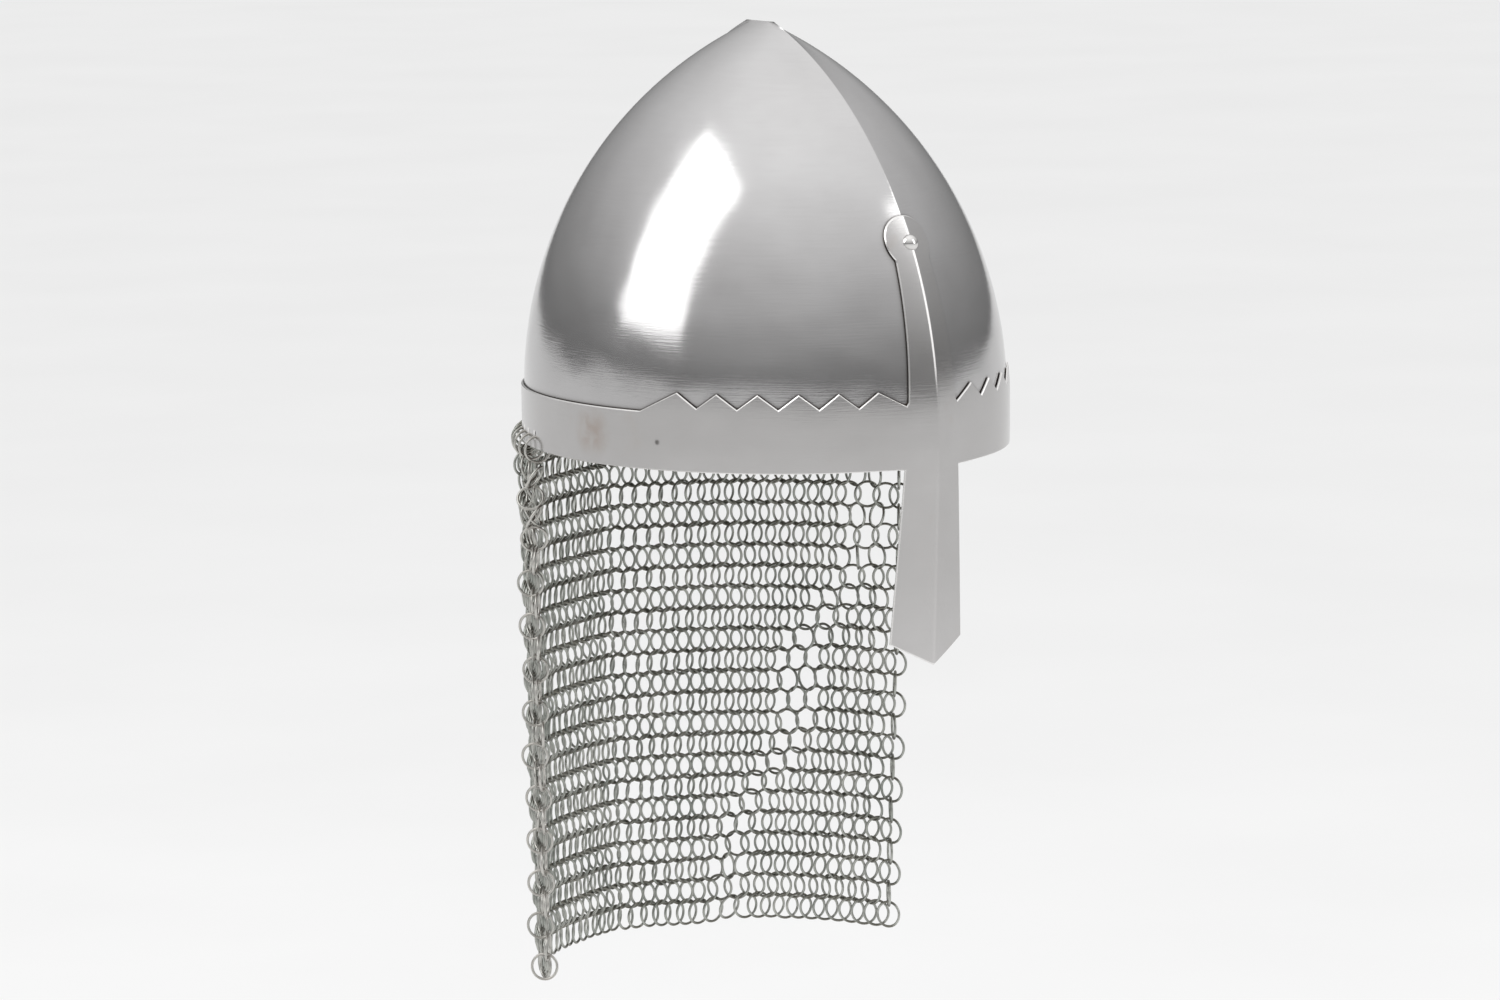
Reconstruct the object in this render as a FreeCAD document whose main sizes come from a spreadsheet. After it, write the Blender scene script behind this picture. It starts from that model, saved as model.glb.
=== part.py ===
import FreeCAD, Part
import math
import os
import Sketcher
from FreeCAD import Placement, Rotation, Vector

# Conical helmet with a nasal bar and a curtain of mail (aventail) round the back.
# Frame: origin at the centre of the rim opening, in the plane of the rim's lower edge.
# +Z up, the face looks along -Y, the wearer's right side is -X.

os.makedirs("parts", exist_ok=True)
doc = FreeCAD.newDocument("nasal_helmet")

SIZES = {
    # skull: two pressed halves welded along the keel (front-to-back ridge)
    "skull_thick": 1.2,
    "skull_half_width": 103.7,
    "skull_half_length": 124.5,
    "skull_height": 190.0,
    "side_foot": 25.0,          # height where the coronal profile starts to lean in
    "keel_foot": 18.0,          # the same for the keel
    "crest_half_length": 10.0,  # short level ridge at the very top
    "keel_proud_low": 6.0,      # how far the keel stands out of the oval at the rim
    "keel_proud_high": 3.6,     # and at the crest
    "keel_reach": 0.42,         # share of the half width over which the keel fades
    # brow band and nasal: one sheet
    "band_thick": 1.3,
    "band_gap": 0.05,
    "band_peak": 35.0,
    "band_valley": 28.3,
    "band_plain": 25.8,
    "tooth_first_deg": 14.5,
    "tooth_pitch_deg": 9.42,
    "tooth_count": 6,
    "plain_start_deg": 71.0,
    "bar_half_width_rim": 15.1,
    "bar_taper": 0.0636,        # half width gained per millimetre downwards
    "boss_radius": 12.7,
    "boss_height": 98.5,
    "guard_corner_depth": 78.0,
    "guard_tip_depth": 88.4,
    "guard_lean": 0.052,
    "guard_lean_start": 12.0,
    "guard_lean_ease": 15.0,
    # nasal rivet and its washer
    "rivet_head_radius": 4.0,
    "rivet_head_height": 3.0,
    "rivet_seat": 0.9,
    "rivet_shank_radius": 2.0,
    "rivet_tail_radius": 3.2,
    "rivet_tail_height": 1.6,
    "washer_radius": 5.0,
    "washer_thick": 1.0,
    "washer_drop": 3.9,
    # mail links, hanger rings and their slits in the rim
    "link_radius": 5.85,
    "wire_radius": 0.525,
    "hanger_count": 28,
    "slit_width": 2.0,
    "slit_low": 4.8,
    "slit_high": 8.2,
    "mail_start_deg": 108.0,
    "hanger_clearance": 0.1,
    # aventail strips: flat stand-ins for the flexible mail
    "strip_count": 21,
    "strip_thick": 0.6,
    "strip_top": -7.4,
    "strip_bottom": -247.0,
    "strip_side_gap": 0.3,
    "strip_taper": 0.9,         # bottom width as a share of the top width
    # leather liner, its lace and its rivets
    "liner_thick": 2.0,
    "liner_half_width": 102.4,
    "liner_half_length": 117.2,
    "liner_low": 12.0,
    "liner_shoulder": 26.0,     # upright up to here, then it sweeps in
    "liner_sweep_radius": 93.8,
    "hem_ring_radius": 46.0,
    "hem_height": 112.0,
    "hem_radius": 3.2,
    "hem_channel_radius": 1.7,
    "lace_radius": 1.2,
    "finger_count": 8,
    "gap_low": 50.0,
    "gap_high": 124.0,
    "gap_half_width": 8.0,
    "rivet_recess": 0.05,
    "liner_rivet_radius": 1.5,
    "liner_rivet_head_radius": 4.0,
    "liner_rivet_head_height": 1.4,
    "liner_rivet_height": 19.0,
    "liner_rivet_grip": 3.45,
    "liner_rivet_count": 8,
}

sheet = doc.addObject("Spreadsheet::Sheet", "Sizes")
for row, (alias, value) in enumerate(SIZES.items(), start=1):
    sheet.set(f"A{row}", alias)
    sheet.set(f"B{row}", str(value))
    sheet.setAlias(f"B{row}", alias)
doc.recompute()

AXIS_X = Vector(1, 0, 0)
AXIS_Z = Vector(0, 0, 1)
ORIGIN = Vector(0, 0, 0)
NODES = []


def size(alias):
    """A driving dimension read back from the sheet."""
    return float(sheet.get(alias))


def node(item, label):
    """Register a document object as one named sub-part."""
    item.Label = label
    NODES.append(item)


def shape_node(shape, label):
    """A sub-part whose shape is worked out with Part's own functions."""
    item = doc.addObject("Part::Feature", label)
    item.Shape = shape
    item.Placement = Placement()
    node(item, label)


# ---------------------------------------------------------------- skull surfaces

def ogive(base, top, foot, offset, height):
    """Half width of an arc profile: upright up to foot, reaching top at the crest."""
    run = base - top
    rise = size("skull_height") - foot
    radius = (run ** 2 + rise ** 2) / (2 * run)
    if height <= foot:
        return base + offset
    return base - radius + math.sqrt((radius + offset) ** 2 - (height - foot) ** 2)


def crest_height(offset):
    """Height where the coronal profile, moved outwards by offset, closes."""
    base = size("skull_half_width")
    foot = size("side_foot")
    rise = size("skull_height") - foot
    radius = (base ** 2 + rise ** 2) / (2 * base)
    return foot + math.sqrt((radius + offset) ** 2 - (radius - base) ** 2)


def guard_lean(height):
    """How far the nose guard has swung back at a height near or below the rim."""
    drop = size("guard_lean_start") - height
    if drop <= 0:
        return 0.0
    return size("guard_lean") * drop ** 2 / (drop + size("guard_lean_ease"))


def skull_point(offset, height, angle, lean=False):
    """Point on the skull moved outwards by offset; angle 0 is the front, 180 the back."""
    width = max(ogive(size("skull_half_width"), 0.0, size("side_foot"), offset, height), 0.0)
    length = ogive(size("skull_half_length"), size("crest_half_length"),
                   size("keel_foot"), offset, height)
    share = height / size("skull_height")
    proud = size("keel_proud_low")
    proud += (size("keel_proud_high") - size("keel_proud_low")) * max(share, 0.0)
    turn = math.radians(angle)
    fade = max(0.0, 1 - abs(math.sin(turn)) / size("keel_reach")) ** 2
    front = math.copysign(1.0, math.cos(turn))
    y = -(length - proud) * math.cos(turn) - front * proud * fade
    if lean:
        y += guard_lean(height)
    return Vector(width * math.sin(turn), y, height)


def surface_face(rows):
    """Smooth face through a grid of points."""
    surface = Part.BSplineSurface()
    surface.interpolate(rows)
    return surface, surface.toShape()


def sheet_solid(outer_rows, inner_rows):
    """Closed sheet between two smooth faces whose edges are joined by ruled faces."""
    outer, outer_face = surface_face(outer_rows)
    inner, inner_face = surface_face(inner_rows)
    faces = [outer_face, inner_face]
    u_low, u_high, v_low, v_high = outer.bounds()
    for u in (u_low, u_high):
        faces.append(Part.makeRuledSurface(outer.uIso(u).toShape(), inner.uIso(u).toShape()))
    for v in (v_low, v_high):
        faces.append(Part.makeRuledSurface(outer.vIso(v).toShape(), inner.vIso(v).toShape()))
    shell = Part.Shell(faces)
    shell.sewShape()
    solid = Part.Solid(shell)
    if solid.Volume < 0:
        solid.reverse()
    return solid


def spread(low, high, count):
    """Evenly spaced values from low to high."""
    return [low + (high - low) * i / (count - 1) for i in range(count)]


def skull_rows(offset, low, high, lean=False):
    """Grid of skull points between two heights, over the half with positive x."""
    return [[skull_point(offset, height, angle, lean) for angle in spread(0, 180, 49)]
            for height in spread(low, high, 33)]


def mirrored(shape):
    return shape.mirror(ORIGIN, AXIS_X)


# ---------------------------------------------------------------- directions round the rim

def wall_frame(angle, height=0.0, offset=None):
    """Point in the middle of the double rim wall and the outward normal of its plain oval."""
    if offset is None:
        offset = (size("band_gap") + size("band_thick") - size("skull_thick")) / 2
    point = skull_point(offset, height, angle)
    return point, oval_normal(angle)


def oval_normal(angle):
    """Outward normal of the rim's oval, with the keel left out."""
    turn = math.radians(angle)
    half_width = size("skull_half_width")
    half_length = size("skull_half_length") - size("keel_proud_low")
    return Vector(half_length * math.sin(turn), -half_width * math.cos(turn), 0).normalize()


def upright_frame(point, normal):
    """Placement with local x along the rim, y pointing outwards and z up."""
    side = normal.cross(AXIS_Z)
    return Placement(point, Rotation(side, normal, AXIS_Z, "ZXY"))


def mail_angles(count):
    """Middle angles of equal shares of the arc that carries mail."""
    start = size("mail_start_deg")
    share = (360 - 2 * start) / count
    return [start + share * (i + 0.5) for i in range(count)]


def prism(corners, direction):
    """Solid made by sliding a flat polygon along a direction."""
    return Part.Face(Part.makePolygon(corners + corners[:1])).extrude(direction)


# ---------------------------------------------------------------- nasal rivet

def keel_frame(height, offset):
    """Point on the keel and its outward normal, in the plane of symmetry."""
    step = 0.5
    here = skull_point(offset, height, 0)
    rise = skull_point(offset, height + step, 0) - skull_point(offset, height - step, 0)
    normal = Vector(0, -rise.z, rise.y).normalize()
    return here, normal


def cap(name, radius_alias, height_alias):
    """Spherical cap on a flat base in the xy plane."""
    ball = doc.addObject("Part::Sphere", name)
    radius = f"(Sizes.{radius_alias}^2 + Sizes.{height_alias}^2) / (2 * Sizes.{height_alias})"
    ball.setExpression("Radius", radius)
    ball.setExpression("Angle1", f"90 - 2 * atan(Sizes.{height_alias} / Sizes.{radius_alias}) / 1deg")
    return ball


def cap_drop(radius_alias, height_alias):
    """Distance from the sphere's centre up to the cap's flat base."""
    radius = size(radius_alias)
    height = size(height_alias)
    return (radius ** 2 + height ** 2) / (2 * height) - height


def nasal_rivet():
    point, normal = keel_frame(size("boss_height"), size("band_thick"))
    base = Placement(point, Rotation(AXIS_Z, normal))
    seat = -size("rivet_seat")
    tail = -(size("washer_drop") + size("washer_thick"))
    head = cap("rivet_head", "rivet_head_radius", "rivet_head_height")
    head_centre = seat - cap_drop("rivet_head_radius", "rivet_head_height")
    head.Placement = base * Placement(Vector(0, 0, head_centre), Rotation())
    shank = doc.addObject("Part::Cylinder", "rivet_shank")
    shank.setExpression("Radius", "Sizes.rivet_shank_radius")
    shank.setExpression("Height", "Sizes.washer_drop + Sizes.washer_thick - Sizes.rivet_seat")
    shank.Placement = base * Placement(Vector(0, 0, tail), Rotation())
    foot = cap("rivet_tail", "rivet_tail_radius", "rivet_tail_height")
    foot_centre = tail + cap_drop("rivet_tail_radius", "rivet_tail_height")
    foot.Placement = base * Placement(Vector(0, 0, foot_centre), Rotation(AXIS_X, 180))
    rivet = doc.addObject("Part::MultiFuse", "nasal_rivet")
    rivet.Shapes = [head, shank, foot]
    node(rivet, "nasal_rivet")
    washer_place = base * Placement(Vector(0, 0, tail), Rotation())
    disc = doc.addObject("Part::Cylinder", "washer_disc")
    disc.setExpression("Radius", "Sizes.washer_radius")
    disc.setExpression("Height", "Sizes.washer_thick")
    disc.Placement = washer_place
    hole = doc.addObject("Part::Cylinder", "washer_hole")
    hole.setExpression("Radius", "Sizes.rivet_shank_radius")
    hole.setExpression("Height", "Sizes.washer_thick")
    hole.Placement = washer_place
    washer = doc.addObject("Part::Cut", "nasal_rivet_washer")
    washer.Base = disc
    washer.Tool = hole
    node(washer, "nasal_rivet_washer")
    doc.recompute()
    return rivet.Shape


# ---------------------------------------------------------------- slits and hanger rings

def slit_cutters():
    """Narrow upright slits through the rim, one for each hanger ring."""
    cutters = []
    width = size("slit_width")
    low = size("slit_low")
    depth = 10.0
    for angle in mail_angles(int(size("hanger_count"))):
        point, normal = wall_frame(angle)
        block = Part.makeBox(width, depth, size("slit_high") - low,
                             Vector(-width / 2, -depth / 2, low))
        block.Placement = upright_frame(point, normal)
        cutters.append(block)
    return cutters


def hanger_centre():
    """Height of a hanger ring's centre when it hangs just clear of the slit's lower corners."""
    half_wall = (size("skull_thick") + size("band_gap") + size("band_thick")) / 2
    inner = size("link_radius") - size("wire_radius") - size("hanger_clearance")
    return size("slit_low") - math.sqrt(inner ** 2 - half_wall ** 2)


def hanger_rings():
    rings = []
    for index, angle in enumerate(mail_angles(int(size("hanger_count"))), start=1):
        point, normal = wall_frame(angle)
        ring = doc.addObject("Part::Torus", f"hanger_ring_{index:02d}")
        ring.setExpression("Radius1", "Sizes.link_radius")
        ring.setExpression("Radius2", "Sizes.wire_radius")
        point.z = hanger_centre()
        ring.Placement = upright_frame(point, normal) * Placement(ORIGIN, Rotation(Vector(0, 1, 0), 90))
        rings.append(ring)
    group = doc.addObject("Part::Compound", "hanger_rings")
    group.Links = rings
    node(group, "hanger_rings")


# ---------------------------------------------------------------- liner rivets

def liner_rivets():
    """Flush rivets hidden behind the brow band, with domed heads on the leather."""
    rivets = []
    count = int(size("liner_rivet_count"))
    for index in range(count):
        angle = 360 / count * (index + 0.5)
        point, normal = wall_frame(angle, size("liner_rivet_height"), -size("rivet_recess"))
        inward = Placement(point, Rotation(AXIS_Z, normal * -1))
        shank = doc.addObject("Part::Cylinder", f"liner_rivet_shank_{index + 1}")
        shank.setExpression("Radius", "Sizes.liner_rivet_radius")
        shank.setExpression("Height", "Sizes.liner_rivet_grip")
        shank.Placement = inward
        head = cap(f"liner_rivet_head_{index + 1}", "liner_rivet_head_radius", "liner_rivet_head_height")
        drop = cap_drop("liner_rivet_head_radius", "liner_rivet_head_height")
        head.Placement = inward * Placement(Vector(0, 0, size("liner_rivet_grip") - drop), Rotation())
        rivet = doc.addObject("Part::MultiFuse", f"liner_rivet_{index + 1}")
        rivet.Shapes = [shank, head]
        rivets.append(rivet)
    group = doc.addObject("Part::Compound", "liner_rivets")
    group.Links = rivets
    node(group, "liner_rivets")
    doc.recompute()
    return group


# ---------------------------------------------------------------- skull halves

def skull_half(cutters):
    """The half with positive x: a pressed shell, 1.2 mm thick, slit for the hangers."""
    outer = skull_rows(0.0, 0.0, size("skull_height"))
    inner_offset = -size("skull_thick")
    inner = skull_rows(inner_offset, 0.0, crest_height(inner_offset))
    return sheet_solid(outer, inner).cut(cutters)


# ---------------------------------------------------------------- brow band and nasal

def bar_half_width(height):
    return size("bar_half_width_rim") - size("bar_taper") * height


def nasal_outline():
    """Front view of the boss, the bar and the nose guard, as a deep solid."""
    low = size("guard_corner_depth")
    tip = size("guard_tip_depth")
    neck = size("boss_height")
    depth = Vector(0, 120, 0)
    front = -150.0
    bar = [Vector(-bar_half_width(-low), front, -low),
           Vector(0, front, -tip),
           Vector(bar_half_width(-low), front, -low),
           Vector(bar_half_width(neck), front, neck),
           Vector(-bar_half_width(neck), front, neck)]
    boss = Part.makeCylinder(size("boss_radius"), depth.y, Vector(0, front, neck), Vector(0, 1, 0))
    return prism(bar, depth).fuse(boss)


def tooth_notch(left_deg, left_height, valley_deg, right_deg):
    """Wedge that cuts one V between two points of the zigzag edge."""
    reach = 14.0
    peak = size("band_peak")
    above = Vector(0, 0, peak + 12.0)
    middle, normal = wall_frame(valley_deg, 0.0, 0.0)
    tangent = AXIS_Z.cross(normal)
    feet = []
    for degrees in (left_deg, valley_deg, right_deg):
        point, _ = wall_frame(degrees, 0.0, 0.0)
        feet.append(middle + tangent * (point - middle).dot(tangent) - normal * reach)
    heights = (left_height, size("band_valley"), peak)
    corners = [foot + AXIS_Z * height for foot, height in zip(feet, heights)]
    corners = [feet[0] + above] + corners + [feet[2] + above]
    return prism(corners, normal * (2 * reach))


def band_cutters():
    """Everything that is trimmed off the half bell to leave the band and its teeth."""
    wide = 300.0
    peak = size("band_peak")
    nasal = nasal_outline()
    above = Part.makeBox(wide, wide, wide, Vector(-1, -wide / 2, peak)).cut(nasal)
    below = Part.makeBox(wide, wide, wide, Vector(-1, -wide / 2, -wide)).cut(nasal)
    cutters = [above, below]
    first = size("tooth_first_deg")
    pitch = size("tooth_pitch_deg")
    count = int(size("tooth_count"))
    half_width = size("skull_half_width")
    bar_edge = math.degrees(math.asin(bar_half_width(size("band_valley")) / half_width))
    cutters.append(tooth_notch(bar_edge, size("band_valley") + 1.5, bar_edge + 0.6, first).cut(nasal))
    for tooth in range(count - 1):
        left = first + pitch * tooth
        cutters.append(tooth_notch(left, peak, left + pitch / 2, left + pitch))
    half_length = size("skull_half_length") - size("keel_proud_low")
    last_y = -half_length * math.cos(math.radians(first + pitch * (count - 1)))
    plain_y = -half_length * math.cos(math.radians(size("plain_start_deg")))
    ramp = [Vector(-1, last_y, peak), Vector(-1, plain_y, size("band_plain")),
            Vector(-1, wide, size("band_plain")), Vector(-1, wide, peak + 1), Vector(-1, last_y, peak + 1)]
    cutters.append(prism(ramp, Vector(wide, 0, 0)))
    return cutters


def brow_band(slits, rivet):
    """Band with zigzag edge, nasal bar, boss and nose guard, cut from one sheet."""
    low = -size("guard_tip_depth") - 3
    high = size("boss_height") + size("boss_radius") + 3
    outer = skull_rows(size("band_thick"), low, high, lean=True)
    inner = skull_rows(size("band_gap"), low, high, lean=True)
    half = sheet_solid(outer, inner).cut(band_cutters())
    return half.fuse(mirrored(half)).cut(slits + [rivet])


# ---------------------------------------------------------------- leather liner

def origin_part(body, role):
    return [item for item in body.Origin.OriginFeatures if item.Role == role][0]


def front_sketch(body, name):
    """Empty sketch on the body's XZ plane."""
    sketch = body.newObject("Sketcher::SketchObject", name)
    sketch.AttachmentSupport = (origin_part(body, "XZ_Plane"), [""])
    sketch.MapMode = "FlatFace"
    return sketch


def pin_point(sketch, geometry, corner, across, up):
    """Bind one sketch point to two expressions; across and up are (value, expression)."""
    for kind, (value, expression) in (("DistanceX", across), ("DistanceY", up)):
        number = sketch.addConstraint(Sketcher.Constraint(kind, -1, 1, geometry, corner, value))
        sketch.setExpression(f"Constraints[{number}]", expression)


def liner_profile(body):
    """Section of the liner: an upright band that sweeps inwards on a round arc."""
    sketch = front_sketch(body, "liner_profile")
    outer_x = size("liner_half_width")
    thick = size("liner_thick")
    low = size("liner_low")
    shoulder = size("liner_shoulder")
    sweep = size("liner_sweep_radius")
    centre = Vector(outer_x - sweep, shoulder, 0)
    bend = math.asin((size("hem_height") - shoulder) / sweep)
    outer_circle = Part.Circle(centre, AXIS_Z, sweep)
    inner_circle = Part.Circle(centre, AXIS_Z, sweep - thick)
    tip = Vector(math.cos(bend), math.sin(bend), 0)
    outer_tip = centre + tip * sweep
    inner_tip = centre + tip * (sweep - thick)
    outer_foot = Vector(outer_x, low, 0)
    inner_foot = Vector(outer_x - thick, low, 0)
    outer_knee = Vector(outer_x, shoulder, 0)
    inner_knee = Vector(outer_x - thick, shoulder, 0)
    sketch.addGeometry(Part.LineSegment(inner_foot, outer_foot), False)
    sketch.addGeometry(Part.LineSegment(outer_foot, outer_knee), False)
    sketch.addGeometry(Part.ArcOfCircle(outer_circle, 0, bend), False)
    sketch.addGeometry(Part.LineSegment(outer_tip, inner_tip), False)
    sketch.addGeometry(Part.ArcOfCircle(inner_circle, 0, bend), False)
    sketch.addGeometry(Part.LineSegment(inner_knee, inner_foot), False)
    joins = ((0, 2, 1, 1), (1, 2, 2, 1), (2, 2, 3, 1), (3, 2, 4, 2), (4, 1, 5, 1), (5, 2, 0, 1))
    for join in joins:
        sketch.addConstraint(Sketcher.Constraint("Coincident", *join))
    pin_point(sketch, 0, 2, (outer_x, "Sizes.liner_half_width"), (low, "Sizes.liner_low"))
    pin_point(sketch, 0, 1, (outer_x - thick, "Sizes.liner_half_width - Sizes.liner_thick"),
              (low, "Sizes.liner_low"))
    pin_point(sketch, 2, 3, (centre.x, "Sizes.liner_half_width - Sizes.liner_sweep_radius"),
              (shoulder, "Sizes.liner_shoulder"))
    return sketch


def gap_sketch(body):
    """V between two fingers, open at the crown."""
    sketch = front_sketch(body, "finger_gap_outline")
    half = size("gap_half_width")
    low = size("gap_low")
    high = size("gap_high")
    spots = [Vector(0, low, 0), Vector(half, high, 0), Vector(-half, high, 0)]
    for index, spot in enumerate(spots):
        sketch.addGeometry(Part.LineSegment(spot, spots[(index + 1) % 3]), False)
    for index in range(3):
        sketch.addConstraint(Sketcher.Constraint("Coincident", index, 2, (index + 1) % 3, 1))
    pin_point(sketch, 1, 1, (half, "Sizes.gap_half_width"), (high, "Sizes.gap_high"))
    pin_point(sketch, 2, 1, (-half, "-Sizes.gap_half_width"), (high, "Sizes.gap_high"))
    number = sketch.addConstraint(Sketcher.Constraint("DistanceY", -1, 1, 0, 1, low))
    sketch.setExpression(f"Constraints[{number}]", "Sizes.gap_low")
    return sketch


def hem_torus(body, kind, name, radius):
    """Round hem, or the channel in it, along the tips of the fingers."""
    torus = body.newObject(kind, name)
    torus.AttachmentSupport = (origin_part(body, "XY_Plane"), [""])
    torus.MapMode = "FlatFace"
    torus.AttachmentOffset = Placement(Vector(0, 0, size("hem_height")), Rotation())
    torus.setExpression("AttachmentOffset.Base.z", "Sizes.hem_height")
    torus.setExpression("Radius1", "Sizes.hem_ring_radius")
    torus.setExpression("Radius2", f"Sizes.{radius}")
    return torus


def round_liner():
    """The liner as a round bell with eight fingers, before it is stretched to the oval."""
    body = doc.addObject("PartDesign::Body", "round_liner")
    profile = liner_profile(body)
    bell = body.newObject("PartDesign::Revolution", "liner_bell")
    bell.Profile = profile
    bell.ReferenceAxis = (origin_part(body, "Z_Axis"), [""])
    bell.Angle = 360
    hem_torus(body, "PartDesign::AdditiveTorus", "hem", "hem_radius")
    hem_torus(body, "PartDesign::SubtractiveTorus", "hem_channel", "hem_channel_radius")
    doc.recompute()
    whole = body.Shape.Volume
    gap = body.newObject("PartDesign::Pocket", "finger_gap")
    gap.Profile = gap_sketch(body)
    gap.Type = "ThroughAll"
    doc.recompute()
    if abs(whole - body.Shape.Volume) < 1:
        gap.Reversed = True
    pattern = body.newObject("PartDesign::PolarPattern", "finger_gaps")
    pattern.Originals = [gap]
    pattern.Axis = (origin_part(body, "Z_Axis"), [""])
    pattern.Angle = 360
    pattern.setExpression("Occurrences", "Sizes.finger_count")
    body.Tip = pattern
    doc.recompute()
    return body


def stretched(item, name):
    """Stretch a round object lengthways to the liner's oval."""
    scale = doc.addObject("Part::Scale", name)
    scale.Base = item
    scale.Uniform = False
    scale.XScale = 1.0
    scale.ZScale = 1.0
    scale.setExpression("YScale", "Sizes.liner_half_length / Sizes.liner_half_width")
    return scale


def leather_liner(rivets):
    liner = doc.addObject("Part::Cut", "leather_liner")
    liner.Base = stretched(round_liner(), "oval_liner")
    liner.Tool = rivets
    node(liner, "leather_liner")
    ring = doc.addObject("Part::Torus", "round_lace")
    ring.setExpression("Radius1", "Sizes.hem_ring_radius")
    ring.setExpression("Radius2", "Sizes.lace_radius")
    ring.setExpression("Placement.Base.z", "Sizes.hem_height")
    node(stretched(ring, "liner_lace"), "liner_lace")


# ---------------------------------------------------------------- aventail strips

def strip_sketch(body, name, half_pitch):
    """Tapered outline on the body's XZ plane, bound to the sheet at each corner."""
    sketch = front_sketch(body, name)
    half_top = half_pitch - size("strip_side_gap")
    half_bottom = half_top * size("strip_taper")
    top_width = f"({half_pitch} - Sizes.strip_side_gap)"
    bottom_width = f"{top_width} * Sizes.strip_taper"
    corners = [(-half_bottom, "strip_bottom", f"-{bottom_width}"),
               (half_bottom, "strip_bottom", bottom_width),
               (half_top, "strip_top", top_width), (-half_top, "strip_top", f"-{top_width}")]
    spots = [Vector(x, size(alias), 0) for x, alias, _ in corners]
    for index, spot in enumerate(spots):
        sketch.addGeometry(Part.LineSegment(spot, spots[(index + 1) % 4]), False)
    for index in range(4):
        sketch.addConstraint(Sketcher.Constraint("Coincident", index, 2, (index + 1) % 4, 1))
    for index, (x, alias, width) in enumerate(corners):
        pin_point(sketch, index, 1, (x, width), (size(alias), f"Sizes.{alias}"))
    return sketch


def strip_half_pitch(angle):
    """Half the width of wall that one strip hangs from, measured along the strip."""
    share = (360 - 2 * size("mail_start_deg")) / size("strip_count")
    across = AXIS_Z.cross(oval_normal(angle))
    left, _ = wall_frame(angle - share / 2)
    right, _ = wall_frame(angle + share / 2)
    return abs((right - left).dot(across)) / 2


def aventail_strips():
    """Upright tapered slabs round the back, one behind each other along the rim."""
    for index, angle in enumerate(mail_angles(int(size("strip_count"))), start=1):
        label = f"aventail_strip_{index:02d}"
        body = doc.addObject("PartDesign::Body", label)
        sketch = strip_sketch(body, f"outline_{index:02d}", strip_half_pitch(angle))
        pad = body.newObject("PartDesign::Pad", f"slab_{index:02d}")
        pad.Profile = sketch
        pad.setExpression("Length", "Sizes.strip_thick")
        pad.Midplane = True
        point, normal = wall_frame(angle)
        body.Placement = upright_frame(point, normal)
        node(body, label)


# ---------------------------------------------------------------- assembly

rivet_shape = nasal_rivet()
slits = slit_cutters()
rivet_group = liner_rivets()
half_skull = skull_half(slits + [rivet_shape] + rivet_group.Shape.Solids)
shape_node(half_skull, "skull_left_half")
shape_node(mirrored(half_skull), "skull_right_half")
shape_node(brow_band(slits, rivet_shape), "brow_band")
hanger_rings()
leather_liner(rivet_group)
aventail_strips()
doc.recompute()

for item in doc.Objects:
    if "Invalid" in item.State or "Error" in item.State:
        raise RuntimeError(f"{item.Name} did not recompute: {item.State}")
for item in NODES:
    if item.Shape.isNull() or not item.Shape.isValid():
        raise RuntimeError(f"{item.Label} has no valid shape")

for item in NODES:
    item.Shape.exportStep(f"parts/{item.Label}.step")
    print(item.Label, len(item.Shape.Solids), round(item.Shape.Volume, 1))
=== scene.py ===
import math
import random

import bmesh
import bpy
import numpy as np
from mathutils import Matrix, Vector
from mathutils.geometry import delaunay_2d_cdt


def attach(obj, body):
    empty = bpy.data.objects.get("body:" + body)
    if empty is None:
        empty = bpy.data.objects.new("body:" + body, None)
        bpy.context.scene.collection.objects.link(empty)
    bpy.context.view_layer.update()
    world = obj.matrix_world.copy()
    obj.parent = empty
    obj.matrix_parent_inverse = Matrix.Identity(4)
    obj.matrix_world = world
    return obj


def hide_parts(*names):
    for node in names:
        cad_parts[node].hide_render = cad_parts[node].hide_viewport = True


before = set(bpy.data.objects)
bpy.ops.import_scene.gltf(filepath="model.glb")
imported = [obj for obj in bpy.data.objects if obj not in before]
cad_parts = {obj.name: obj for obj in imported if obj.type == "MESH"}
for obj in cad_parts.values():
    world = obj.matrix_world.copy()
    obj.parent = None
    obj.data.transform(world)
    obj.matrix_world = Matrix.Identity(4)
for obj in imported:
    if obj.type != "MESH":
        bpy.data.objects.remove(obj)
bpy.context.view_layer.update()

MM = 0.001

# ------------------------------------------------------------------ the helmet's sizes, in millimetres
SKULL = dict(half_width=103.7, half_length=124.5, height=190.0, thick=1.2,
             side_foot=25.0, keel_foot=18.0, crest=10.0)
KEEL_LOW, KEEL_HIGH, KEEL_REACH = 6.0, 3.6, 0.42
BAND_OUT, BAND_IN = 1.35, 0.05
BAND_PEAK, BAND_VALLEY, BAND_PLAIN = 35.0, 28.3, 25.8
TOOTH_FIRST, TOOTH_PITCH, TOOTH_COUNT, PLAIN_START = 14.5, 9.42, 6, 71.0
BAR_RIM, BAR_TAPER = 15.1, 0.0636
BOSS_R, BOSS_Z = 11.7, 98.2
GUARD_CORNER, GUARD_TIP = -78.0, -88.4
SLIT_COUNT, SLIT_W, SLIT_LOW, SLIT_HIGH = 28, 2.0, 4.8, 8.2
MAIL_START, MAIL_END = 108.0, 252.0
RING_R, WIRE_R = 5.85, 0.62
MAIL_ROWS, STRIPS = 24, 21
MAIL_COLUMNS = STRIPS * 2
ROW_PITCH, ROW_FIRST = 10.05, -10.95


# ------------------------------------------------------------------ skull surface

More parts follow.
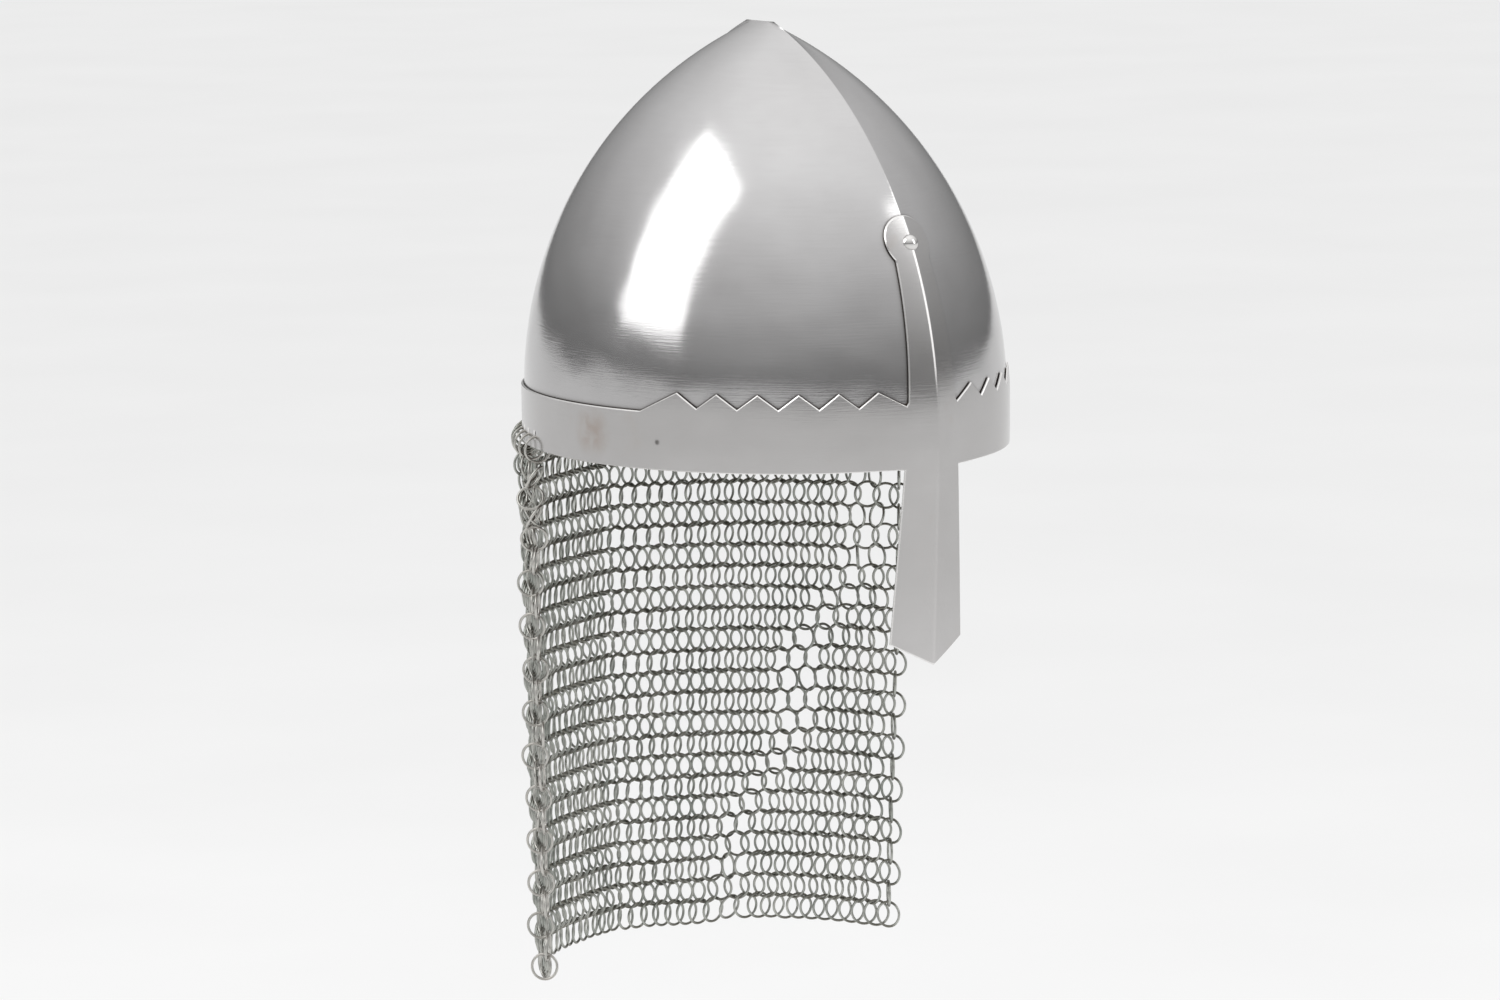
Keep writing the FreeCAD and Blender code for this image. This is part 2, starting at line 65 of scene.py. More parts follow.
def ogive(base, top, foot, offset, z):
    """Half width of an arc profile: upright up to foot, reaching top at the crest."""
    run = base - top
    rise = SKULL["height"] - foot
    radius = (run ** 2 + rise ** 2) / (2 * run)
    above = np.maximum(z - foot, 0.0)
    return base - radius + np.sqrt(np.maximum((radius + offset) ** 2 - above ** 2, 0.0))


def crest_height(offset):
    """Height at which the side profiles of an offset skull meet."""
    base, foot = SKULL["half_width"], SKULL["side_foot"]
    rise = SKULL["height"] - foot
    radius = (base ** 2 + rise ** 2) / (2 * base)
    return foot + math.sqrt((radius + offset) ** 2 - (radius - base) ** 2)


def guard_lean(z):
    """How far back the nose guard leans at a height."""
    drop = np.maximum(12.0 - z, 0.0)
    return 0.052 * drop ** 2 / (drop + 15.0)


def skull_xyz(offset, z, phi, lean=False):
    """Points on the skull moved outwards by offset; phi in degrees from the front."""
    z = np.asarray(z, float)
    turn = np.radians(np.asarray(phi, float))
    width = np.maximum(ogive(SKULL["half_width"], 0.0, SKULL["side_foot"], offset, z), 0.0)
    length = ogive(SKULL["half_length"], SKULL["crest"], SKULL["keel_foot"], offset, z)
    proud = KEEL_LOW + (KEEL_HIGH - KEEL_LOW) * np.maximum(z / SKULL["height"], 0.0)
    sine, cosine = np.sin(turn), np.cos(turn)
    fade = np.maximum(0.0, 1 - np.abs(sine) / KEEL_REACH) ** 2
    y = -(length - proud) * cosine - np.sign(cosine) * proud * fade
    if lean:
        y = y + guard_lean(z)
    return np.stack([width * sine, y, z * np.ones_like(sine)], -1)


def phi_of_x(x, z):
    """Angle from the front where the band's outer face has this x."""
    width = ogive(SKULL["half_width"], 0.0, SKULL["side_foot"], BAND_OUT, np.asarray(z, float))
    return np.degrees(np.arcsin(np.clip(np.asarray(x, float) / width, -1, 1)))


# ------------------------------------------------------------------ mesh helpers

def make_mesh(name, verts, faces, smooth=True, sharp=35.0):
    mesh = bpy.data.meshes.new(name)
    mesh.from_pydata([tuple(v) for v in verts], [], [tuple(int(i) for i in f) for f in faces])
    mesh.validate()
    mesh.update()
    if smooth:
        mesh.shade_smooth()
        mesh.set_sharp_from_angle(angle=math.radians(sharp))
    obj = bpy.data.objects.new(name, mesh)
    bpy.context.scene.collection.objects.link(obj)
    return obj


def resample(points, step):
    """Points along a polyline no further apart than step, keeping every corner."""
    out = []
    for a, b in zip(points[:-1], points[1:]):
        n = max(1, int(math.ceil(math.dist(a, b) / step)))
        for i in range(n):
            t = i / n
            out.append((a[0] + (b[0] - a[0]) * t, a[1] + (b[1] - a[1]) * t))
    out.append(points[-1])
    return out


def inside(points, loop):
    """Even-odd test of many points against one closed loop."""
    x, y = points[:, 0], points[:, 1]
    hit = np.zeros(len(points), bool)
    a = np.asarray(loop)
    b = np.roll(a, -1, 0)
    for (x0, y0), (x1, y1) in zip(a, b):
        if y0 == y1:
            continue
        cross = (y0 > y) != (y1 > y)
        hit ^= cross & (x < (x1 - x0) * (y - y0) / (y1 - y0) + x0)
    return hit


def inset(loop, distance, fixed):
    """Loop moved to its left by distance (its inner side for a counter-clockwise loop)."""
    p = np.asarray(loop)
    before = p - np.roll(p, 1, 0)
    after = np.roll(p, -1, 0) - p
    before /= np.linalg.norm(before, axis=1)[:, None]
    after /= np.linalg.norm(after, axis=1)[:, None]
    n0 = np.stack([-before[:, 1], before[:, 0]], -1)
    n1 = np.stack([-after[:, 1], after[:, 0]], -1)
    mid = n0 + n1
    scale = 2 / np.maximum((mid ** 2).sum(1), 0.5)
    moved = p + mid * (distance * scale)[:, None]
    moved[fixed] = p[fixed] + np.array([0, 1]) * ((moved[fixed] - p[fixed]) @ np.array([0, 1]))[:, None]
    return moved


def sheet_half(loops, step, chamfer, shape, seam):
    """Closed sheet over a flat outline with holes.
    loops: the outline counter-clockwise, then holes clockwise, in (u, z) millimetres.
    shape(depth, u, z): the point at a depth of 0 (outer face) to 1 (inner face), or in between.
    seam(u): True where the edge is shared with the other half, which gets no chamfer."""
    rings, insets = [], []
    for loop in loops:
        p = np.asarray(loop)
        rings.append(p)
        insets.append(inset(p, chamfer, seam(p[:, 0])))
    flat = np.concatenate(insets)
    low, high = flat.min(0), flat.max(0)
    across = np.arange(low[0] + step / 2, high[0], step)
    upward = np.arange(low[1] + step / 2, high[1], step)
    gu, gz = np.meshgrid(across, upward)
    grid = np.stack([gu.ravel(), gz.ravel()], -1)
    keep = inside(grid, insets[0])
    for hole in insets[1:]:
        keep &= ~inside(grid, hole)
    grid = grid[keep]
    near = np.full(len(grid), np.inf)
    for start in range(0, len(flat), 400):
        gap = np.linalg.norm(grid[:, None] - flat[None, start:start + 400], axis=2).min(1)
        near = np.minimum(near, gap)
    grid = grid[near > step * 0.35]
    points = np.concatenate([flat, grid])
    edges, base = [], 0
    for loop in insets:
        edges += [(base + i, base + (i + 1) % len(loop)) for i in range(len(loop))]
        base += len(loop)
    out = delaunay_2d_cdt([Vector(p) for p in points], edges, [], 0, 1e-5)
    flat_points = np.array([(v.x, v.y) for v in out[0]])
    tris = np.array([f for f in out[2] if len(f) == 3])
    middle = flat_points[tris].mean(1)
    keep = inside(middle, insets[0])
    for hole in insets[1:]:
        keep &= ~inside(middle, hole)
    tris = tris[keep]
    source = {}
    for new, olds in enumerate(out[3]):
        for old in olds:
            source[old] = new
    u, z = flat_points[:, 0], flat_points[:, 1]
    count = len(flat_points)
    verts = [shape(0.0, u, z), shape(1.0, u, z)]
    faces = [tuple(t) for t in tris] + [tuple(count + i for i in t[::-1]) for t in tris]
    base, used = 2 * count, 0
    for loop, ring in zip(insets, rings):
        n = len(ring)
        top = [source[used + i] for i in range(n)]
        bottom = [count + i for i in top]
        if not chamfer:
            faces += [(top[(i + 1) % n], top[i], bottom[i], bottom[(i + 1) % n]) for i in range(n)]
            used += n
            continue
        upper = list(range(base, base + n))
        lower = list(range(base + n, base + 2 * n))
        verts += [shape("upper", ring[:, 0], ring[:, 1]), shape("lower", ring[:, 0], ring[:, 1])]
        for i in range(n):
            j = (i + 1) % n
            if seam(np.array([ring[i, 0]]))[0] and seam(np.array([ring[j, 0]]))[0] \
                    and abs(ring[i, 0] - ring[j, 0]) < 1e-6:
                continue
            faces.append((top[j], top[i], upper[i], upper[j]))
            faces.append((upper[j], upper[i], lower[i], lower[j]))
            faces.append((lower[j], lower[i], bottom[i], bottom[j]))
        base += 2 * n
        used += n
    return np.concatenate(verts), faces


def mirror_join(verts, faces):
    """A half and its mirror image in x."""
    flipped = verts * np.array([-1, 1, 1])
    n = len(verts)
    return np.concatenate([verts, flipped]), faces + [tuple(i + n for i in f[::-1]) for f in faces]


def weld(obj, distance):
    """Joins the two halves along the seam and makes the faces look outwards."""
    bm = bmesh.new()
    bm.from_mesh(obj.data)
    bmesh.ops.remove_doubles(bm, verts=bm.verts, dist=distance)
    bmesh.ops.recalc_face_normals(bm, faces=bm.faces)
    bm.to_mesh(obj.data)
    bm.free()
    obj.data.shade_smooth()
    obj.data.set_sharp_from_angle(angle=math.radians(35))


def surface_normals(obj, outer, lean):
    """Gives the two wide faces of a sheet the exact normals of the skull surface.
    Returns 1 for each face that belongs to the sheet's edge and 0 for the others."""
    mesh = obj.data
    count = len(mesh.loops)
    corner = np.empty(count, int)
    mesh.loops.foreach_get("vertex_index", corner)
    sizes = np.empty(len(mesh.polygons), int)
    mesh.polygons.foreach_get("loop_total", sizes)
    owner = np.repeat(np.arange(len(sizes)), sizes)
    points = np.empty(len(mesh.vertices) * 3)
    mesh.vertices.foreach_get("co", points)
    points = points.reshape(-1, 3) / MM
    centre = np.stack([np.bincount(owner, points[corner, k]) / sizes for k in range(3)], -1)
    flat = np.empty(len(sizes) * 3)
    mesh.polygons.foreach_get("normal", flat)
    flat = flat.reshape(-1, 3)[owner]
    spot = points[corner] * 0.97 + centre[owner] * 0.03
    width = np.maximum(ogive(SKULL["half_width"], 0.0, SKULL["side_foot"], outer, spot[:, 2]), 1e-3)
    length = ogive(SKULL["half_length"], SKULL["crest"], SKULL["keel_foot"], outer, spot[:, 2])
    length = length - KEEL_LOW - (KEEL_HIGH - KEEL_LOW) * np.maximum(spot[:, 2] / SKULL["height"], 0.0)
    along = spot[:, 1] - (guard_lean(spot[:, 2]) if lean else 0.0)
    sine = np.clip(spot[:, 0] / width, -1, 1)
    near_keel = np.where(along < 0, np.degrees(np.arcsin(sine)), 180 - np.degrees(np.arcsin(sine)))
    phi = np.where(np.abs(sine) < KEEL_REACH, near_keel, np.degrees(np.arctan2(sine, -along / length)))
    step = 0.02
    across = skull_xyz(outer, spot[:, 2], phi + step, lean) - skull_xyz(outer, spot[:, 2], phi - step, lean)
    upward = skull_xyz(outer, spot[:, 2] + step, phi, lean) - skull_xyz(outer, spot[:, 2] - step, phi, lean)
    normal = np.cross(across, upward)
    normal /= np.maximum(np.linalg.norm(normal, axis=1), 1e-9)[:, None]
    agree = (normal * flat).sum(1)
    normal *= np.sign(agree)[:, None]
    normal[np.abs(agree) < 0.93] = 0.0
    if lean:
        ridge = (np.abs(points[corner, 0]) < 0.05) & (points[corner, 1] < 0)
        normal[ridge, 0] = 0.0
    mesh.normals_split_custom_set([tuple(n) for n in normal])
    edge = np.bincount(owner, np.abs(agree) < 0.93) > 0
    return edge.astype(np.int32)


# ------------------------------------------------------------------ outlines of the sheets

ARC = math.radians(1) * 110.0     # millimetres of u for one degree of phi


def slit_loops():
    """Slits of the half with positive x, clockwise."""
    share = (MAIL_END - MAIL_START) / SLIT_COUNT
    half = SLIT_W / 2 * 0.97
    corner = 0.5
    loops = []
    for k in range(SLIT_COUNT // 2):
        middle = (MAIL_START + share * (k + 0.5)) * ARC
        left, right = middle - half + corner, middle + half - corner
        bottom, top = SLIT_LOW + corner, SLIT_HIGH - corner
        path = []
        for cx, cz, start in ((left, bottom, 180), (right, bottom, 270), (right, top, 0), (left, top, 90)):
            for step in range(4):
                turn = math.radians(start + 30 * step)
                path.append((cx + corner * math.cos(turn), cz + corner * math.sin(turn)))
        loops.append(path[::-1])
    return loops


def band_outline():
    """Outline of the half band with bar, boss and nose guard, counter-clockwise in (u, z)."""
    def at(x, z):
        return float(phi_of_x(x, z)) * ARC, z
    path = [(0.0, GUARD_TIP)]
    path += [at(BAR_RIM - BAR_TAPER * GUARD_CORNER, GUARD_CORNER)]
    side = [at(BAR_RIM - BAR_TAPER * z, z) for z in np.linspace(GUARD_CORNER, 0.0, 30)]
    path += side[1:]
    path.append((180 * ARC, 0.0))
    path.append((180 * ARC, BAND_PLAIN))
    path.append((PLAIN_START * ARC, BAND_PLAIN))
    for k in reversed(range(TOOTH_COUNT)):
        peak = TOOTH_FIRST + TOOTH_PITCH * k
        path.append((peak * ARC, BAND_PEAK))
        if k:
            path.append(((peak - TOOTH_PITCH / 2) * ARC, BAND_VALLEY))
    bar = BAR_RIM - BAR_TAPER * BAND_VALLEY
    path.append((float(phi_of_x(bar, BAND_VALLEY)) * ARC + 1.0, BAND_VALLEY))
    path.append(at(BAR_RIM - BAR_TAPER * (BAND_VALLEY + 1.5), BAND_VALLEY + 1.5))
    neck = next(a for a in np.linspace(math.pi * 0.95, math.pi * 0.5, 400)
                if BOSS_R * math.sin(a) >= BAR_RIM - BAR_TAPER * (BOSS_Z + BOSS_R * math.cos(a)))
    neck_z = BOSS_Z + BOSS_R * math.cos(neck)
    path += [at(BAR_RIM - BAR_TAPER * z, z) for z in np.linspace(BAND_VALLEY + 1.5, neck_z, 26)[1:]]
    arc = np.linspace(neck, 0.0, 40)[1:-1]
    path += [at(BOSS_R * math.sin(a), BOSS_Z + BOSS_R * math.cos(a)) for a in arc]
    path.append((0.0, BOSS_Z + BOSS_R))
    path.append((0.0, GUARD_TIP))
    return resample(path, 2.0)[:-1]


def depth_shape(outer, inner, chamfer, lean):
    """The shape function of a sheet between two offsets."""
    offsets = {0.0: outer, 1.0: inner, "upper": outer - chamfer, "lower": inner + chamfer}

    def shape(depth, u, z):
        return skull_xyz(offsets[depth], z, u / ARC, lean)
    return shape


def build_brow_band():
    seam = lambda u: (np.abs(u) < 1e-4) | (np.abs(u - 180 * ARC) < 1e-4)
    chamfer = 0.45
    verts, faces = sheet_half([band_outline()] + slit_loops(), 2.2, chamfer,
                              depth_shape(BAND_OUT, BAND_IN, chamfer, True), seam)
    verts, faces = mirror_join(verts, faces)
    obj = make_mesh("brow_band_sheet", verts * MM, faces)
    weld(obj, 1e-6)
    return obj, surface_normals(obj, BAND_OUT, True)


def build_skull_half(name, side):
    """One pressed half, from the rim to the crest."""
    top = SKULL["height"]
    outline = resample([(0.0, 0.0), (180 * ARC, 0.0), (180 * ARC, top), (0.0, top), (0.0, 0.0)], 2.5)[:-1]
    share = crest_height(-SKULL["thick"]) / top

    def shape(depth, u, z):
        inner = depth in (1.0, "lower")
        offset = {0.0: 0.0, "upper": 0.0, 1.0: -SKULL["thick"], "lower": -SKULL["thick"]}[depth]
        height = z * share if inner else z
        points = skull_xyz(offset, height, u / ARC)
        points[:, 0] *= side
        return points
    never = lambda u: np.zeros(len(u), bool)
    verts, faces = sheet_half([outline] + slit_loops(), 2.5, 0.0, shape, never)
    if side < 0:
        faces = [f[::-1] for f in faces]
    obj = make_mesh(name, verts * MM, faces)
    surface_normals(obj, 0.0, False)
    return obj


# ------------------------------------------------------------------ rings

def torus_arrays(ring_r, wire_r, around, across):
    a = np.arange(around) * 2 * np.pi / around
    b = np.arange(across) * 2 * np.pi / across
    aa, bb = np.meshgrid(a, b, indexing="ij")
    radius = ring_r + wire_r * np.cos(bb)
    verts = np.stack([radius * np.cos(aa), wire_r * np.sin(bb), radius * np.sin(aa)], -1).reshape(-1, 3)
    faces = []
    for i in range(around):
        for j in range(across):
            i2, j2 = (i + 1) % around, (j + 1) % across
            faces.append((i * across + j, i * across + j2, i2 * across + j2, i2 * across + j))
    return verts, faces


RING_VERTS, RING_FACES = torus_arrays(RING_R, WIRE_R, 30, 8)


def wall(phi, z=0.0):
    """Middle of the double rim wall at an angle, and the plain oval's outward normal there."""
    offset = (BAND_OUT - SKULL["thick"]) / 2
    point = skull_xyz(offset, 0.0, phi)
    turn = math.radians(phi)
    length = SKULL["half_length"] - KEEL_LOW
    normal = np.array([length * math.sin(turn), -SKULL["half_width"] * math.cos(turn), 0.0])
    return np.array(point), normal / np.linalg.norm(normal)


def ring_matrix(face, tip, roll):
    """Rows of a rotation that puts the ring's own Y along face, tipped and rolled."""
    up = np.array([0.0, 0.0, 1.0])
    side = np.cross(face, up)
    tilt = math.radians(tip)
    y_axis = face * math.cos(tilt) + up * math.sin(tilt)
    z_axis = up * math.cos(tilt) - face * math.sin(tilt)
    turn = math.radians(roll)
    x_axis = side * math.cos(turn) + z_axis * math.sin(turn)
    z_axis = np.cross(x_axis, y_axis)
    return np.stack([x_axis, y_axis, z_axis])


def place(matrix, centre, verts):
    return verts @ matrix + centre


def turned(vector, degrees):
    """A level vector turned about the vertical."""
    t = math.radians(degrees)
    x, y, z = vector
    return np.array([x * math.cos(t) - y * math.sin(t), x * math.sin(t) + y * math.cos(t), z])


def rings_object(name, placements):
    verts, faces, painted_rope_shade, edge_tone, n = [], [], [], [], len(RING_VERTS)
    for k, (matrix, centre, paleness) in enumerate(placements):
        verts.append(place(matrix, centre, RING_VERTS))
        faces += [tuple(i + k * n for i in f) for f in RING_FACES]
        # Painted shade: 0 at the ring's middle height, 1 at its top and bottom, where the rows cross and
        # shade each other.
        painted_rope_shade.append(np.abs(verts[-1][:, 2] - centre[2]) / RING_R)
        edge_tone.append(np.full(n, paleness))
    obj = make_mesh(name, np.concatenate(verts) * MM, faces, sharp=80)
    for title, values in (("painted_rope_shade", painted_rope_shade), ("edge_tone", edge_tone)):
        layer = obj.data.attributes.new(title, "FLOAT", "POINT")
        layer.data.foreach_set("value", np.concatenate(values).astype(np.float32))
    return obj


def soft_step(x):
    """Rises smoothly from 0 to 1 as x goes from 0 to 1."""
    t = min(max(x, 0.0), 1.0)
    return t * t * (3 - 2 * t)


def open_line(row):
    """Column where the mail has been pulled apart along a slanting line."""
    return 0.60 * row - 0.3 + 0.9 * math.sin(0.75 * row)


def build_mail():
    """All rings of the curtain, grouped by the strip that each column hangs from."""
    rng = random.Random(11)
    groups = [[] for _ in range(STRIPS)]
    share = (MAIL_END - MAIL_START) / MAIL_COLUMNS
    half = MAIL_COLUMNS / 2
    for row in range(MAIL_ROWS):
        lean = 18.0 if row % 2 else -18.0
        down = row / (MAIL_ROWS - 1)
        for column in range(MAIL_COLUMNS):
            spot = column + (0.25 if row % 2 else 0.75)
            past = soft_step((spot - open_line(row)) / 3.2 + 0.5)
            inward = max(0.0, 1 - spot / half)
            outward = 1.1 - 0.9 * down
            moved = spot - 1.2 * outward * (1 - past) + 1.2 * (1 - outward) * past * inward - 0.3 * inward
            torn = 1 - min(abs(spot - open_line(row)) / 1.1, 1.0)
            tangle = max(0.0, 1 - (MAIL_COLUMNS - 1 - column) / 12) * max(0.0, 1 - row / 5)
            if column == 0 and row % 2 == 0:
                moved -= 0.5
            phi = MAIL_START + share * moved
            point, normal = wall(phi)
            shrink = 1 - 0.035 * down ** 1.5
            centre = np.array([point[0] * shrink, point[1] * shrink, ROW_FIRST - ROW_PITCH * row])
            corner = soft_step((phi - 232) / 20) * down ** 2
            edge = soft_step((phi - 238) / 14)
            centre += normal * (rng.gauss(0, 0.12 + 0.5 * edge) + 0.5 * corner + 3.0 * edge)
            lift = 2.3 * (1 - past) * min(1.0, row / 6)
            centre[2] += rng.gauss(0, 0.15 + 1.1 * tangle) + lift + 4.0 * corner
            bias = 8.0 * min(max((180 - phi) / 20, -1.0), 1.0)
            if column == 0:
                bias -= 22 if row % 2 else 35
            if column == MAIL_COLUMNS - 1 and row % 2:
                bias += 48
                centre += normal * 1.6
            swing = 22 * torn * (1 if row % 2 else -1)
            turn = lean + bias + rng.gauss(0, 3 + 11 * torn + 24 * tangle) + swing
            tip = rng.gauss(0, 3 + 7 * torn + 16 * tangle)
            matrix = ring_matrix(turned(normal, turn), tip, rng.uniform(0, 360))
            # The last number sets how much paler the ring is drawn, more towards the near end.
            groups[column // 2].append((matrix, centre, 0.75 * edge * rng.uniform(0.5, 1.0)))
    return groups


def build_hangers():
    rng = random.Random(5)
    share = (MAIL_END - MAIL_START) / SLIT_COUNT
    placements = []
    half_wall = (SKULL["thick"] + BAND_OUT) / 2
    reach = RING_R - WIRE_R - 0.1
    centre_z = SLIT_LOW - math.sqrt(reach ** 2 - half_wall ** 2)
    for k in range(SLIT_COUNT):
        phi = MAIL_START + share * (k + 0.5)
        point, normal = wall(phi)
        side = np.cross(normal, np.array([0.0, 0.0, 1.0]))
        centre = np.array([point[0], point[1], centre_z])
        matrix = ring_matrix(turned(side, rng.gauss(0, 3)), 0.0, rng.uniform(0, 360))
        # The last number makes the hangers towards the near end paler.
        placements.append((matrix, centre, 0.5 * soft_step((phi - 225) / 20)))
    return placements


# ------------------------------------------------------------------ materials

def new_material(name):
    mat = bpy.data.materials.new(name)
    mat.use_nodes = True
    nodes, links = mat.node_tree.nodes, mat.node_tree.links
    shader = nodes["Principled BSDF"]
    return mat, nodes, links, shader


def noise(nodes, links, vector, scale, detail=4.0, rough=0.5):
    n = nodes.new("ShaderNodeTexNoise")
    n.inputs["Scale"].default_value = scale
    n.inputs["Detail"].default_value = detail
    n.inputs["Roughness"].default_value = rough
    links.new(vector, n.inputs["Vector"])
    return n.outputs["Fac"]


def ramp(nodes, links, value, stops):
    r = nodes.new("ShaderNodeValToRGB")
    elements = r.color_ramp.elements
    while len(elements) < len(stops):
        elements.new(0.5)
    for element, (position, colour) in zip(elements, stops):
        element.position = position
        element.color = (*colour, 1.0) if len(colour) == 3 else colour
    links.new(value, r.inputs["Fac"])
    return r.outputs["Color"]


def stretched(nodes, links, vector, scale):
    m = nodes.new("ShaderNodeMapping")
    m.inputs["Scale"].default_value = scale
    links.new(vector, m.inputs["Vector"])
    return m.outputs["Vector"]


def mix_colour(nodes, links, factor, a, b, blend="MIX"):
    m = nodes.new("ShaderNodeMix")
    m.data_type = "RGBA"
    m.blend_type = blend
    for value, socket in ((factor, m.inputs[0]), (a, m.inputs[6]), (b, m.inputs[7])):
        if isinstance(value, (float, int)):
            socket.default_value = value
        elif isinstance(value, tuple):
            socket.default_value = (*value, 1.0)
        else:
            links.new(value, socket)
    return m.outputs[2]


def to_range(nodes, links, value, low, high, from_low=0.0, from_high=1.0):
    m = nodes.new("ShaderNodeMapRange")
    m.inputs["From Min"].default_value = from_low
    m.inputs["From Max"].default_value = from_high
    m.inputs["To Min"].default_value = low
    m.inputs["To Max"].default_value = high
    links.new(value, m.inputs["Value"])
    return m.outputs["Result"]


def bump(nodes, links, height, strength, distance, normal=None):
    b = nodes.new("ShaderNodeBump")
    b.inputs["Strength"].default_value = strength
    b.inputs["Distance"].default_value = distance
    links.new(height, b.inputs["Height"])
    if normal is not None:
        links.new(normal, b.inputs["Normal"])
    return b.outputs["Normal"]


def spot_mask(nodes, links, coord, point, radius, strength):
    """Soft-edged mark round one point of the surface, broken up by noise."""
    gap = nodes.new("ShaderNodeVectorMath")
    gap.operation = "DISTANCE"
    links.new(coord, gap.inputs[0])
    gap.inputs[1].default_value = tuple(float(v) * MM for v in point)
    near = to_range(nodes, links, gap.outputs["Value"], strength, 0.0, radius * 0.3 * MM, radius * MM)
    patchy = to_range(nodes, links, noise(nodes, links, coord, 160.0, 5.0, 0.6), 0.3, 1.0, 0.35, 0.6)
    product = nodes.new("ShaderNodeMath")
    product.operation = "MULTIPLY"
    links.new(near, product.inputs[0])
    links.new(patchy, product.inputs[1])
    return product.outputs["Value"]


def steel(name, dark, light, rough_low, rough_high, hammer, stain=0.0, painted_contact_shade=False, marks=()):
    """Hand-finished steel: slow waviness, fine polishing scratches, faint stains and, if asked, painted
    contact shade near other parts.
    """
    mat, nodes, links, shader = new_material(name)
    coord = nodes.new("ShaderNodeTexCoord").outputs["Object"]
    cloud = noise(nodes, links, coord, 14.0, 5.0, 0.55)
    colour = ramp(nodes, links, cloud, ((0.15, dark), (0.85, light)))
    if stain:
        blot = noise(nodes, links, coord, 38.0, 6.0, 0.65)
        mask = to_range(nodes, links, blot, 0.0, stain, 0.60, 0.72)
        colour = mix_colour(nodes, links, mask, colour, (0.42, 0.33, 0.26))
    for point, radius, strength, tint in marks:
        mark = spot_mask(nodes, links, coord, point, radius, strength)
        colour = mix_colour(nodes, links, mark, colour, tint)
    grain = noise(nodes, links, stretched(nodes, links, coord, (60.0, 60.0, 1800.0)), 1.0, 3.0, 0.6)
    colour = mix_colour(nodes, links, to_range(nodes, links, grain, 0.0, 0.10), colour, (0.25, 0.24, 0.23))
    links.new(colour, shader.inputs["Base Color"])
    links.new(to_range(nodes, links, noise(nodes, links, coord, 22.0, 4.0), rough_low, rough_high, 0.1, 0.9),
              shader.inputs["Roughness"])
    # Painted shade: an ambient-occlusion node darkens the base colour to near black where other surfaces lie
    # within 3.5 mm, a dark contact shadow along the band's edges and round the rivet and boss.
    if painted_contact_shade:
        shade = nodes.new("ShaderNodeAmbientOcclusion")
        shade.inputs["Distance"].default_value = 0.0035
        painted_shade_line = to_range(nodes, links, shade.outputs["AO"], 1.0, 0.0, 0.62, 0.95)
        colour = mix_colour(nodes, links, painted_shade_line, colour, (0.05, 0.042, 0.036))
        links.new(colour, shader.inputs["Base Color"])
    wave = bump(nodes, links, noise(nodes, links, coord, 17.0, 2.0), hammer, 0.004)
    fine = bump(nodes, links, grain, 0.06, 0.0004, wave)
    links.new(fine, shader.inputs["Normal"])
    shader.inputs["Metallic"].default_value = 1.0
    return mat


def ring_steel(name):
    """Dull, oiled wire; painted shade darkens the tops and bottoms of the rings, where the rows cross, and
    rings towards the near end are paler.
    """
    mat, nodes, links, shader = new_material(name)
    coord = nodes.new("ShaderNodeTexCoord").outputs["Object"]
    wire = ((0.35, (0.30, 0.315, 0.29)), (0.65, (0.45, 0.455, 0.425)))
    colour = ramp(nodes, links, noise(nodes, links, coord, 45.0, 4.0), wire)
    # Painted shade: the tops and bottoms of the rings are darkened to a dark olive, standing in for the shade
    # between the rows.
    layer = nodes.new("ShaderNodeAttribute")
    layer.attribute_name = "painted_rope_shade"
    shade_mask = to_range(nodes, links, layer.outputs["Fac"], 0.0, 0.80, 0.66, 0.94)
    colour = mix_colour(nodes, links, shade_mask, colour, (0.13, 0.122, 0.10))
    # Paler colour for rings towards the near end of the mail and the hanger row.
    tone_layer = nodes.new("ShaderNodeAttribute")
    tone_layer.attribute_name = "edge_tone"
    colour = mix_colour(nodes, links, tone_layer.outputs["Fac"], colour, (0.60, 0.575, 0.545))
    links.new(colour, shader.inputs["Base Color"])
    polish = to_range(nodes, links, noise(nodes, links, coord, 300.0), 0.25, 0.42, 0.3, 0.7)
    links.new(polish, shader.inputs["Roughness"])
    shader.inputs["Metallic"].default_value = 1.0
    return mat


def leather(name, dark, light):
    mat, nodes, links, shader = new_material(name)
    coord = nodes.new("ShaderNodeTexCoord").outputs["Object"]
    cloud = noise(nodes, links, coord, 30.0, 6.0, 0.6)
    colour = ramp(nodes, links, cloud, ((0.3, dark), (0.7, light)))
    links.new(colour, shader.inputs["Base Color"])
    cells = nodes.new("ShaderNodeTexVoronoi")
    cells.inputs["Scale"].default_value = 900.0
    links.new(coord, cells.inputs["Vector"])
    links.new(to_range(nodes, links, cloud, 0.55, 0.8), shader.inputs["Roughness"])
    links.new(bump(nodes, links, cells.outputs["Distance"], 0.35, 0.0006), shader.inputs["Normal"])
    return mat


def paint(obj, mat):
    obj.data.materials.clear()
    obj.data.materials.append(mat)


# ------------------------------------------------------------------ build the object

SMUDGE = skull_xyz(BAND_OUT, 14.0, -85.0)
DOT = skull_xyz(BAND_OUT, 12.5, -66.5)

# The skull and the rivets get the painted contact shade: a dark line next to the band, the rivet and the
# boss.
skull_steel = steel("skull_steel", (0.47, 0.462, 0.462), (0.60, 0.595, 0.598), 0.10, 0.19, 0.30, painted_contact_shade=True)
band_steel = steel("band_steel", (0.46, 0.45, 0.445), (0.56, 0.552, 0.55), 0.14, 0.22, 0.16, 0.16,
                   marks=((SMUDGE, 13.0, 0.45, (0.34, 0.25, 0.19)), (DOT, 1.6, 1.0, (0.03, 0.025, 0.02))))
rivet_steel = steel("rivet_steel", (0.66, 0.65, 0.64), (0.76, 0.75, 0.74), 0.10, 0.14, 0.02, painted_contact_shade=True)
